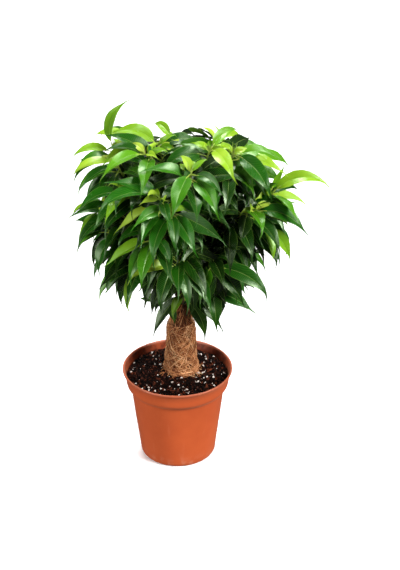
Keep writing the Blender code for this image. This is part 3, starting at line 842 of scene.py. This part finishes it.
# %% Bark finish and stems
bark = Finish("young_bark", Roughness=0.68, Specular_IOR_Level=0.3)
spot = bark.place((1, 1, 0.35))
rough_skin = bark.noise(spot, 320, 5)
bark_colour = bark.ramp(rough_skin, (0.3, 52, 40, 24), (0.5, 92, 74, 46), (0.72, 132, 112, 78))
pores = bark.noise(bark.place((1, 1, 2.4)), 900, 2).above(0.66, 0.74)
bark.feed("Base Color", bark.blend(pores * 0.6, bark_colour, paint(176, 158, 122)))
bark.bump(rough_skin + pores * 0.4, 0.6, 0.0004)

STEM_CUTS = 66
STEM_THICK, STEM_THINS = 1.9, 0.55  # radius at the foot, and how much less it is at the top


def stem_radius(i, luck):
    """At cut i: every fifth is swollen where an old leaf was."""
    swelling = luck.uniform(0.1, 0.3) if i % 5 == 0 else 0
    return (STEM_THICK - STEM_THINS * i / STEM_CUTS + swelling) * MM


stem_model = rod_model("stem_model", 12, STEM_CUTS)
for node in stem_names:
    shape = welded(node)
    lowest = min(point.co.z for point in shape.verts)
    foot = [point for point in shape.verts if point.co.z < lowest + 0.1 * MM]
    centres = [middle(ring) for ring in rings_from(foot, neighbours(shape))]
    line = smooth_line(centres, 90, (0.3, -0.9, 0.05))
    luck = random.Random(node)
    radii = [stem_radius(i, luck) for i in range(STEM_CUTS + 1)]
    stem = rod_along(stem_model, line, radii)
    stem.name = stem.data.name = "barked_" + node
    take(stem)
    bpy.ops.object.shade_smooth()
    finish_piece(stem, [bark], "bark", node)
    shape.free()
bpy.data.objects.remove(stem_model, do_unlink=True)

# %% [markdown]
# ## One leaf
#
# A weeping fig's leaf is a pointed oval with a long thin tip that rain runs off. It is folded a
# little along its midrib, each half bulges upwards, and the midrib stands out below as a keel.
# So the section of the model leaf is a shallow V with six corners: two edges, two bulging
# halves, the fold and the keel. It is drawn up straight, narrow at its foot, full at a third
# of its length, and then thinning to the tip, which takes few faces and closes by itself.

# %% Leaf model
LEAF_WIDTHS = [  # half width as a share of the fullest, place along the blade
    (0.10, 0.0), (0.40, 0.045), (0.74, 0.12), (0.96, 0.22), (1.0, 0.33), (0.93, 0.44),
    (0.77, 0.54), (0.55, 0.63), (0.33, 0.72), (0.16, 0.80), (0.08, 0.89), (0.025, 1.0),
]


def leaf_section():
    """Works a circle of six points into the leaf's section: edges, halves, fold and keel."""
    pick(lambda co: co.y > 0.9)
    bpy.ops.transform.translate(value=(0, -1, 0))
    pick(lambda co: co.y < -0.9)
    bpy.ops.transform.translate(value=(0, 0.94, 0))
    pick(lambda co: co.y > 0.4)
    bpy.ops.transform.resize(value=(0.577, 1, 1), center_override=(0, 0, 0))
    bpy.ops.transform.translate(value=(0, -0.31, 0))
    pick(lambda co: co.y < -0.4)
    bpy.ops.transform.resize(value=(1.155, 1, 1), center_override=(0, 0, 0))
    bpy.ops.transform.translate(value=(0, 0.77, 0))


leaf_model = drawn_up("leaf_model", [(1.0, 0.0), *LEAF_WIDTHS[1:]], 6, (0, 0), leaf_section)
shape = points_of(leaf_model.data)
at_foot = shape[:, 2] < 0.001
shape[at_foot, :2] *= LEAF_WIDTHS[0][0]
leaf_model.data.vertices.foreach_set("co", shape.ravel())
width_shares, width_places = zip(*LEAF_WIDTHS)
widths = np.interp(shape[:, 2], width_places, width_shares)
carry(leaf_model.data, "along", shape[:, 2])
carry(leaf_model.data, "side", shape[:, 0] / widths)
take(leaf_model)
bpy.ops.object.shade_smooth_by_angle(angle=math.radians(32))
leaf_faces = leaf_model.data.polygons
for face in leaf_faces:
    face.material_index = 1 if face.normal.y < -0.3 else 0
below = sum(face.material_index for face in leaf_faces)
print("a leaf has", len(leaf_faces), "faces, of them underside:", below)

# %% [markdown]
# ## Leaf, underside and stalk finishes
#
# A grown leaf is deep green and glossy, a young one yellow-green and softer, and the newest
# are nearly yellow. The age of each leaf is a number on its points, and so is its tone and
# shade, which is low for a leaf deep in the crown: there painted shade darkens the leaf towards
# a near-black green. The midrib shows as a thin pale line, fine side veins leave it at a slant,
# and the underside is paler and matt. Stalks are yellow-green, and a twig turns from green at
# its end to brown at its foot.


# %% Leaf finishes
GREENS = (  # age, then red, green and blue
    (0.0, 186, 204, 76), (0.2, 142, 184, 34), (0.42, 84, 146, 14), (0.7, 24, 96, 5), (1.0, 5, 50, 2)
)
PALE_GREENS = ((0.0, 180, 206, 88), (0.4, 118, 174, 46), (1.0, 54, 112, 34))
# the near-black green that painted shade darkens a leaf towards
SHADE_GREEN = paint(1, 16, 1)


def leaf_colour(finish, stops, spread):
    """Colour by age, a little different in each leaf and across each leaf, and darkened by painted
    shade.
    """
    age = finish.own("age") + (finish.noise(finish.place(), 55, 3) - 0.5) * spread
    # painted shade: the lower the leaf's shade number, the nearer its colour goes to the near-black
    # green
    painted_shade_share = (1 - finish.own("tone")) * 0.9
    return finish.blend(painted_shade_share, finish.ramp(age, *stops), SHADE_GREEN)


def leaf_veins(finish):
    """How near to a side vein: 1 on it. The veins leave the midrib at a slant."""
    slanted = finish.own("along") * 24 - abs(finish.own("side")) * 4.2
    return slanted.math("PINGPONG", 0.5).above(0.30, 0.5)


def midrib(finish, half_width, soft):
    """1 on the midrib, and 0 on the blade beside it."""
    return 1 - abs(finish.own("side")).above(half_width, half_width + soft)


glossy = Finish(
    "leaf_upper_side", Roughness=0.34, Specular_IOR_Level=0.58,
    Specular_Tint=(0.80, 1.0, 0.66, 1),
)
green = leaf_colour(glossy, GREENS, 0.25)
veins = leaf_veins(glossy)
green = glossy.blend(veins * 0.12, green, paint(150, 196, 80))
green = glossy.blend(midrib(glossy, 0.015, 0.06) * 0.24, green, paint(168, 200, 104))
# painted light: a paler band along the edge of the blade stands in for light shining through the
# thin margin
margin = abs(glossy.own("side")).above(0.93, 1.0)
glossy.feed("Base Color", glossy.blend(margin * 0.3, green, paint(160, 200, 90)))
glossy.feed("Roughness", glossy.noise(glossy.place(), 90, 3) * 0.14 + 0.18)
relief = veins * -0.5 - midrib(glossy, 0.02, 0.07)
glossy.bump(relief + glossy.noise(glossy.place(), 260, 2) * 0.8, 0.35, 0.0004)

matt = Finish(
    "leaf_underside", Roughness=0.55, Specular_IOR_Level=0.2, Specular_Tint=(0.75, 1.0, 0.55, 1)
)
green = leaf_colour(matt, PALE_GREENS, 0.2)
veins = leaf_veins(matt)
green = matt.blend(veins * 0.2, green, paint(176, 204, 130))
matt.feed("Base Color", matt.blend(midrib(matt, 0.04, 0.08) * 0.6, green, paint(190, 210, 130)))
matt.bump(veins * 0.6 + matt.noise(matt.place(), 400, 2) * 0.5, 0.4, 0.0004)

stalky = Finish("twig_and_stalk", Roughness=0.5, Specular_IOR_Level=0.35)
skin = stalky.noise(stalky.place((1, 1, 0.5)), 380, 4)
age = stalky.own("age") + (skin - 0.5) * 0.4
twig_colour = stalky.ramp(
    age, (0.0, 188, 208, 88), (0.35, 140, 166, 62), (0.65, 120, 108, 58), (1.0, 86, 62, 38)
)
stalky.feed("Base Color", twig_colour)
stalky.bump(skin, 0.4, 0.0003)
print("leaf finishes:", [finish.material.name for finish in (glossy, matt, stalky)])

# %% Twig, stalk and bud models
BUD = [(0.75, 0.0), (1.0, 0.15), (1.0, 0.35), (0.7, 0.62), (0.34, 0.85), (0.05, 1.0)]
twig_model = rod_model("twig_model", 6, 30)
stalk_model = rod_model("stalk_model", 5, 7)
bud_model = drawn_up("bud_model", BUD, 6)
for model in (leaf_model, twig_model, stalk_model, bud_model):
    for finish in (glossy, matt, stalky):
        model.data.materials.append(finish.material)
for model in (twig_model, stalk_model, bud_model):
    take(model)
    bpy.ops.object.shade_smooth()
    for face in model.data.polygons:
        face.material_index = 2
    for number in ("along", "side"):
        carry(model.data, number, 0.0)

# %% [markdown]
# ## Reading each shoot
#
# The solid model of a shoot is a closed skin: a four-sided twig that ends in a bud, and leaves
# with four-cornered rings at the blade's foot, at 38% and at 72% of the blade, and a pointed
# tip. A tip is found because little of the skin meets there. From it the rings are met one by
# one, and the longest diagonal of a ring is the leaf's width. What is left is the twig.
#
# A real leaf turns its face to the light, the more so when it hangs, so each blade is turned
# about its midrib to look outwards. Its thin drip tip goes on a little past the solid's end.


# %% Blades and twigs
SUNLESS = (12 * MM, 50 * MM)  # the upright line that every blade turns its face away from
TURNING, HANGING_TURNS = 0.7, 1.1  # how far a level blade turns, and what hanging adds
BLADE_PLACES = (0, 0.38, 0.72, 1)  # the blade's foot, its two rings and its tip
BLADE_POINTS = 25
DRIP_STEPS, DRIP_SAG = (1, 2, 3), (0, 0.6 * MM, 1.8 * MM)
SHARP, BUD_WIDTH = math.radians(150), 3.4 * MM  # what tells a tip or a bud, and a tip from a bud
INNER_RANK = 5


class Blade:
    """Where one leaf lies: its midrib, its half width, and which way it faces.

    Its rank is its place on the twig counted from the bud, and its root is on the twig.
    """

    def __init__(self, keys, half, above, root):
        self.half, self.root, self.rank = half, root, INNER_RANK
        outward = Vector((keys[1][0] - SUNLESS[0], keys[1][1] - SUNLESS[1], 0)).normalized()
        ways = [(Vector(keys[i + 2]) - Vector(keys[i])).normalized() for i in (0, 1)]
        hanging = max(0, -(ways[0] + ways[1]).z / 2)
        turning = TURNING + HANGING_TURNS * hanging**2
        turns = [(outward - way * outward.dot(way)) * turning for way in ways]
        above = [Vector(a) + turn for a, turn in zip(above, turns)]
        curve = np.polyfit(BLADE_PLACES, np.array([tuple(k) for k in keys]), 3)
        places = np.linspace(0, 1, BLADE_POINTS)
        points = np.stack([np.polyval(curve[:, i], places) for i in range(3)], axis=1)
        drip = np.outer(DRIP_STEPS, points[-1] - points[-2]) + np.outer(DRIP_SAG, (0, 0, -1))
        points = np.concatenate([points, points[-1] + drip])
        places = np.concatenate([places, np.ones(len(DRIP_STEPS))])
        rows = np.array([tuple(a) for a in above])
        sides = [np.interp(places, BLADE_PLACES[1:3], rows[:, i]) for i in range(3)]
        self.line = Line(points, np.stack(sides, axis=1))
        self.centre = points[BLADE_POINTS // 2]

    def samples(self):
        """Points spread over the blade, to tell how near another leaf comes."""
        along = np.repeat((0.08, 0.3, 0.5, 0.7, 0.9), 3)
        across = np.tile((-0.6, 0, 0.6), 5) * self.half
        return self.line.lay(along, across, np.abs(across) * 0.3)


def widest(ring):
    pairs = ((a, b) for a in ring for b in ring)
    return max(pairs, key=lambda pair: (pair[0].co - pair[1].co).length)


def blade_from(rings, twig):
    """(the twig's ring that a blade grows from, the blade). The first of its rings is its tip."""
    above, keels = [], []
    for ring in (rings[2], rings[1]):
        left, right = widest(ring)
        keels.append(middle([p for p in ring if p not in (left, right)]))
        above.append(((left.co + right.co) / 2 - keels[-1]).normalized())
    left, right = widest(rings[2])
    half = (left.co - right.co).length / 2
    touched = [k for k, ring in enumerate(twig) if ring & rings[4]]
    root = middle(set().union(*(twig[k] for k in touched)) or rings[3])
    keys = [middle(rings[3]), *keels, middle(rings[0])]
    return min(touched, default=0), Blade(keys, half, above, root)


def read_shoot(node):
    """(the line of the twig from its bud down, its blades from the bud down)."""
    shape = welded(node)
    near = neighbours(shape)
    tips, buds = [], []
    for point in shape.verts:
        if sum(loop.calc_angle() for loop in point.link_loops) < SHARP:
            left, right = widest(near[point])
            (tips if (left.co - right.co).length > BUD_WIDTH else buds).append(point)
    found, leafy = [], set()
    for tip in tips:
        rings, seen = [{tip}], {tip}
        for _ in range(4):
            rings.append(set().union(*(near[p] for p in rings[-1])) - seen)
            seen |= rings[-1]
        leafy |= seen - rings[4]
        found.append(rings)
    bud = max(buds, key=lambda p: min((p.co - tip.co).length for tip in tips))
    twig = rings_from([bud], near, leafy)
    blades = sorted((blade_from(rings, twig) for rings in found), key=lambda pair: pair[0])
    for rank, (_, blade) in enumerate(blades):
        blade.rank = rank
    line = [middle(ring) for ring in twig]
    shape.free()
    return line, [blade for _, blade in blades]


shoots = {node: read_shoot(node) for node in shoot_names}
print("leaves read:", sum(len(blades) for _, blades in shoots.values()))

# %% [markdown]
# ## Ages and inner leaves
#
# New leaves open at the ends of the shoots, so age falls towards the bud, and it falls most in
# the shoots that stand out of the crown into the light. A real crown is also full of smaller,
# older leaves that only show as depth between the outer ones. They are grown here: each twig
# is given more leaves between its nodes, and a leaf stays only where its blade keeps clear of
# all that are already there.

# %% Ages
YOUNG_SHOOTS = {  # age of the leaves from the bud down, 0 new and 1 full grown
    "shoot_upright_left": (0.36, 0.30), "shoot_top_far_left": (0.18, 0.75),
    "shoot_left_hook": (0.25, 0.35), "shoot_left_under": (0.55, 0.30),
    "shoot_left_lower": (0.35, 0.8), "shoot_top_left": (0.28, 0.85),
    "shoot_top_middle": (0.15, 0.15, 0.5), "shoot_shoulder_front": (0.42, 0.9),
    "shoot_upper_left": (0.75, 0.35), "shoot_top_right": (0.15, 0.45, 0.5),
    "shoot_crest_right": (0.45, 0.3, 0.8), "shoot_right_reach": (0.25, 0.35, 0.5),
    "shoot_right_lower": (0.30, 0.32, 0.7, 0.4), "shoot_front_left": (0.34, 0.8),
    "shoot_front_low": (0.12, 0.8), "shoot_front_upper_left": (0.72, 0.85, 0.12),
    "shoot_front_top": (0.62, 0.85), "shoot_right_top": (0.82, 0.45),
    "shoot_low_middle": (0.55, 0.28, 0.8), "shoot_low_left": (0.55, 0.8),
    "shoot_right_middle": (0.80, 0.25, 0.45), "shoot_front_middle": (0.92, 0.85),
    "shoot_04": (0.35, 0.8, 0.4), "shoot_11": (0.4, 0.6), "shoot_13": (0.3, 0.5),
    "shoot_20": (0.3, 0.5, 0.4),
}
CROWN, CROWN_SIZE = np.array((12, 2, 278)) * MM, np.array((100, 100, 108)) * MM
AGEING_FOOT, AGEING_RISE, AGEING_REACH = 200 * MM, 180 * MM, 90 * MM
NEWEST, NEWEST_FADES = 0.56, 0.11  # how much younger the leaf at the bud is, and each next one


def age_of(node, blade, luck):
    """0 for a new leaf and 1 for a full-grown one: near the bud, high and to the sun is young."""
    named_ages = YOUNG_SHOOTS.get(node, ())
    if blade.rank < len(named_ages):
        return named_ages[blade.rank]
    height = min(1, max(0, (blade.line.points[0][2] - AGEING_FOOT) / AGEING_RISE))
    sunny = max(0, blade.centre[0] - SUNLESS[0]) / AGEING_REACH
    youth = max(0, NEWEST - NEWEST_FADES * blade.rank) * (height + 0.5 * sunny)
    youth *= luck.uniform(0.2, 1.6)
    return min(1, max(0.2, luck.uniform(0.72, 1.0) - youth))


def painted_shade_of(blade, luck):
    """Painted shade: 1 for a leaf in the open, 0 for one deep in the crown or low down, as if in
    the others' shade. The right side, towards the strongest light, and a shoot's two newest leaves
    are painted lighter.
    """
    spot = (blade.centre - CROWN) / CROWN_SIZE
    open_air = (np.linalg.norm(spot) - 0.45) * 1.6
    lowness = max(0, 0.25 - spot[2]) * 0.9 * (1 - 0.9 * min(1, abs(spot[0])))
    young = 0.3 if blade.rank < 2 else 0
    tone = open_air - lowness + young + 0.25 * max(0, spot[0])
    return min(1, max(0, tone + luck.uniform(-0.3, 0.2)))


print("shoots with ages of their own:", len(YOUNG_SHOOTS))


# %% Growing the inner leaves
ARCH_STEPS = 20
NODE_SHARES = (0.25, 0.4, 0.52, 0.63, 0.73, 0.82, 0.9)  # places along a twig, from its foot
LAPS, GAP, LOWEST_LEAF = 12, 2.5 * MM, 190 * MM
CROWN_TOP_SQUARE, CROWN_FOOT_SQUARE, CROWN_FILL = 3.2, 2.0, 0.92  # 2 is round, more is squarer
NEARLY_UP = (0.01, 0.02, 1)


def grown_blade(root, heading, lift, droop, length, width):
    """A blade whose stalk leaves the twig this way and then arches over. Angles in radians."""
    away = Vector((math.cos(heading), math.sin(heading), 0))
    spots, facing, here = [], [], Vector(root)
    for i in range(ARCH_STEPS + 1):
        angle = lift - droop * (i / ARCH_STEPS) ** 1.1
        tangent = away * math.cos(angle) + UP * math.sin(angle)
        spots.append(here.copy())
        facing.append(UP * math.cos(angle) - away * math.sin(angle))
        here += tangent * length / ARCH_STEPS
    keys = [spots[i] for i in (3, 9, 15, ARCH_STEPS)]
    return Blade(keys, width / 2, [facing[9], facing[15]], root)


def in_crown(rows):
    """Whether all points lie in the crown's outline, which is squarer above than below."""
    away = np.abs(rows - CROWN) / CROWN_SIZE
    square = np.where(rows[:, 2] > CROWN[2], CROWN_TOP_SQUARE, CROWN_FOOT_SQUARE)
    inside = (away ** square[:, None]).sum(axis=1) <= CROWN_FILL**square
    return inside.all() and rows[:, 2].min() >= LOWEST_LEAF


def crowded(points, tree, gap):
    return any(tree.find(point)[2] < gap for point in points)


def tree_of(rows):
    tree = kdtree.KDTree(len(rows))
    for i, row in enumerate(rows):
        tree.insert(row, i)
    tree.balance()
    return tree


outer = [blade for _, blades in shoots.values() for blade in blades]
taken = [tuple(row) for blade in outer for row in blade.samples()]
inner = {node: [] for node in shoot_names}
grown = tree_of(taken)
for lap in range(LAPS):
    for node in shoot_names:
        luck = random.Random(f"{node} {lap}")
        line = smooth_line(list(reversed(shoots[node][0])), 60, NEARLY_UP)
        for share in NODE_SHARES:
            place = np.array([share + luck.uniform(-0.04, 0.04)])
            blade = grown_blade(
                Vector(line.read(line.points, place)[0]),
                luck.uniform(0, math.tau), luck.uniform(-0.5, 0.9), luck.uniform(0.5, 1.5),
                luck.uniform(30, 50 + 2 * lap) * MM, luck.uniform(10, 16) * MM,
            )
            rows = blade.samples()
            if in_crown(rows) and not crowded(rows, grown, GAP):
                taken += [tuple(row) for row in rows]
                inner[node].append(blade)
                grown = tree_of(taken)
print("inner leaves:", sum(len(blades) for blades in inner.values()))

# %% [markdown]
# ## Laying out the shoots
#
# Every blade is a copy of the one leaf, laid along the midrib that was read from the solid.
# Each has its own fold, a slow wave in its margin, and a tip that curls its own way. Its stalk
# runs from the middle of the twig to a little way into the blade. Beside the bud stand sheaths
# of rolled new leaves and, on the higher shoots, a few small leaves that have just opened. The
# pieces of one shoot are joined, so that the shoot can be lifted out whole, as its solid can.


# %% Building a shoot
TWIG_RADII = np.array((1.15, 1.05, 0.95, 0.85, 0.7)) * MM  # from the foot on, as those below
STALK_RADII = np.array((0.62, 0.5, 0.5, 0.55, 0.5, 0.3)) * MM
SHEATH_RADII, BUD_RADII = np.array(((0.5, 0.5), (0.75, 0.75))) * MM
INTO_STEM = 1.6 * MM  # how far a twig goes on into its stem
BUSY_ABOVE, OPENING_ABOVE = 340 * MM, 300 * MM  # buds this high have more sheaths, and new leaves
SHEATHS, BUSY_SHEATHS, OPENING_LEAVES = 1, 3, 4
# painted shade: inner leaves keep a quarter of their shade number, which darkens their colour
INNER_SHADE = 0.25


def laid_leaf(blade, age, tone, luck):
    """A leaf along a blade, with a fold, a wavy margin and a curling tip of its own."""
    rows = points_of(leaf_model.data)
    along, side, rise = rows[:, 2].astype(float), rows[:, 0], rows[:, 1]
    half = blade.half * luck.uniform(0.94, 1.04)
    fold = luck.uniform(0.8, 1.9)
    beat = along * luck.uniform(7, 13) + luck.uniform(0, math.tau)
    waves = np.sin(beat + np.sign(side) * luck.uniform(0, 1.2)) * side**2
    lift = rise * half * np.where(rise > 0, fold, 1) + waves * half * luck.uniform(0.03, 0.14)
    tail = np.clip((along - 0.70) / 0.30, 0, 1) ** 2
    lift -= tail * luck.uniform(-3.0, 6.0) * MM
    across = side * half + tail * luck.uniform(-5.5, 5.5) * MM
    across = across + np.sin(along * math.pi) * luck.uniform(-1.8, 1.8) * MM
    return copy_of(leaf_model, blade.line.lay(along, across, lift), age=age, tone=tone)


def laid_stalk(blade, age):
    """A stalk from the twig's middle to a little way into the blade."""
    foot, inside = Vector(blade.line.points[0]), Vector(blade.line.points[2])
    into = (inside - foot).normalized()
    bow = (foot - into * 3 * MM).lerp(blade.root.lerp(foot, 0.5), 0.5)
    line = smooth_line([blade.root, bow, foot, inside], 20, LEANING)
    return rod_along(stalk_model, line, STALK_RADII, age=age * 0.35, tone=0.5)


def laid_sheath(line_points, luck):
    """A thin new leaf, still rolled in its sheath, that stands up beside the bud."""
    start = line_points[1].lerp(line_points[2], luck.uniform(0, 0.5))
    way = (line_points[0] - line_points[1]).normalized() * 0.6 + UP * 0.8
    way += Vector([luck.uniform(-0.6, 0.6) for _ in range(3)])
    end = start + way.normalized() * luck.uniform(8, 15) * MM
    bow = start.lerp(end, 0.5) + Vector([luck.uniform(-0.8, 0.8) * MM for _ in range(3)])
    line = smooth_line([start, bow, end], 12, LEANING)
    return rod_along(bud_model, line, SHEATH_RADII, age=luck.uniform(0.1, 0.6), tone=0.5)


def opening_leaf(line_points, luck):
    """A small new leaf that has just opened beside the bud."""
    root = line_points[1].lerp(line_points[3], luck.random())
    blade = grown_blade(
        root, luck.uniform(0, math.tau), luck.uniform(0.5, 1.3), luck.uniform(0.6, 1.6),
        luck.uniform(15, 25) * MM, luck.uniform(6.5, 9.5) * MM,
    )
    age = luck.uniform(0.05, 0.4)
    return [laid_leaf(blade, age, 1.0, luck), laid_stalk(blade, age)]


def leafy_shoot(node):
    """A whole shoot: its twig, bud, sheaths, leaves and stalks, joined."""
    luck = random.Random(node)
    line_points, blades = shoots[node]
    bud_tip, bud_foot = line_points[:2]
    centres = list(reversed(line_points[1:]))
    in_stem = centres[0] + (centres[0] - centres[1]).normalized() * INTO_STEM
    twig_line = smooth_line([in_stem, *centres], 90, NEARLY_UP)
    along = points_of(twig_model.data)[:, 2]
    end_age = age_of(node, blades[0], random.Random(node + " end"))
    ages = np.interp(along, (0, 0.5, 0.85, 1), (1.0, 0.75, 0.4, 0.15 + end_age * 0.3))
    bud_line = smooth_line([bud_foot, bud_foot.lerp(bud_tip, 0.5), bud_tip], 10, LEANING)
    pieces = [
        rod_along(twig_model, twig_line, TWIG_RADII, age=ages, tone=0.5),
        rod_along(bud_model, bud_line, BUD_RADII, age=0.05, tone=0.5),
    ]
    for _ in range(BUSY_SHEATHS if bud_foot.z > BUSY_ABOVE else SHEATHS):
        pieces.append(laid_sheath(line_points, luck))
    for _ in range(OPENING_LEAVES if bud_foot.z > OPENING_ABOVE else 0):
        pieces += opening_leaf(line_points, luck)
    for blade in blades + inner[node]:
        age = age_of(node, blade, luck)
        tone = painted_shade_of(blade, luck) * (INNER_SHADE if blade in inner[node] else 1)
        pieces += [laid_leaf(blade, age, tone, luck), laid_stalk(blade, age)]
    return joined(node.replace("shoot", "sprig"), pieces)


print("ready to lay out", len(shoots), "shoots")

# %% All the shoots
sprigs = [leafy_shoot(node) for node in shoot_names]
for node, sprig in zip(shoot_names, sprigs):
    finish_piece(sprig, [], "leaf", node)
for model in (leaf_model, twig_model, stalk_model, bud_model):
    bpy.data.objects.remove(model, do_unlink=True)
print("sprigs:", len(sprigs), "faces:", sum(len(sprig.data.polygons) for sprig in sprigs))

# %% [markdown]
# ## Closing
#
# The box of the solid model and the box of the finished piece are printed side by side, so
# that a change in the size of the thing would show.

# %% Sizes and the end
let_go()
made_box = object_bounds()
for name, box in (("solid", solid_box), ("made", made_box)):
    print(name, [round((high - low) * 1000, 1) for low, high in zip(*box)], "mm")
